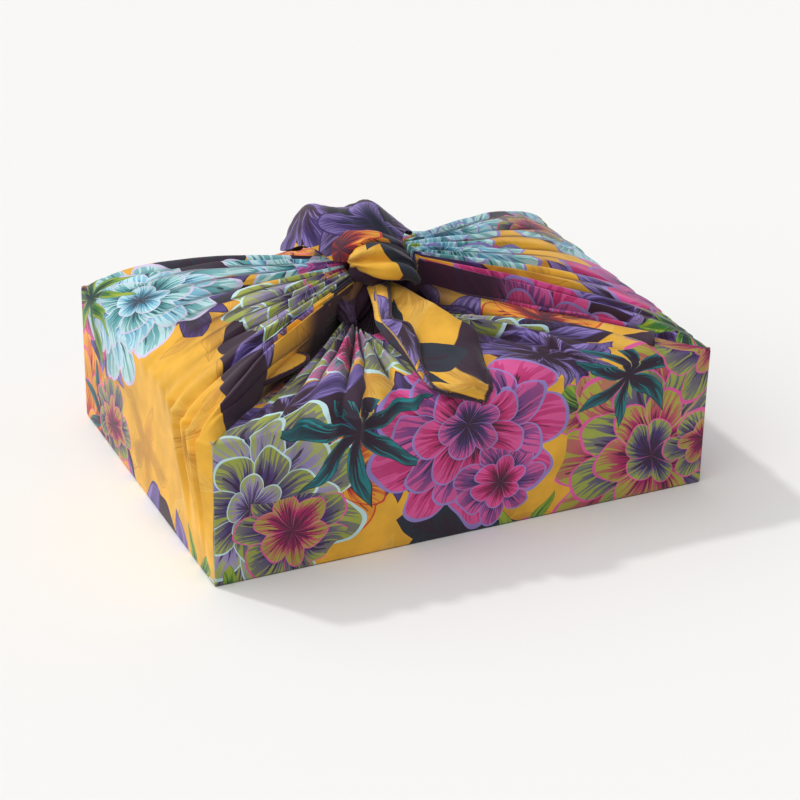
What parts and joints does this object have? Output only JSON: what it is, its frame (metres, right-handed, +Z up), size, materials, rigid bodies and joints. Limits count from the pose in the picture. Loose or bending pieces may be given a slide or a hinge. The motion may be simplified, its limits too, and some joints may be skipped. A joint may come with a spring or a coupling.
{
  "type": "furoshiki wrap",
  "caption": "Square cloth drawn up round a flat box form, pleated over its top and tied in a round knot with loose corners.",
  "frame": {"origin": "middle of the flat base, on the surface that the wrap stands on", "axes": "+X along the long side, -Y towards the front with the loose corner, +Z up"},
  "size_m": [0.2859, 0.2121, 0.1371],
  "materials": {
    "printed_cotton": "plain-woven cotton, printed in many colours on mustard, with a narrow rolled aubergine hem"
  },
  "bodies": {
    "root": {"furoshiki_cloth": "printed_cotton"}
  },
  "joints": []
}
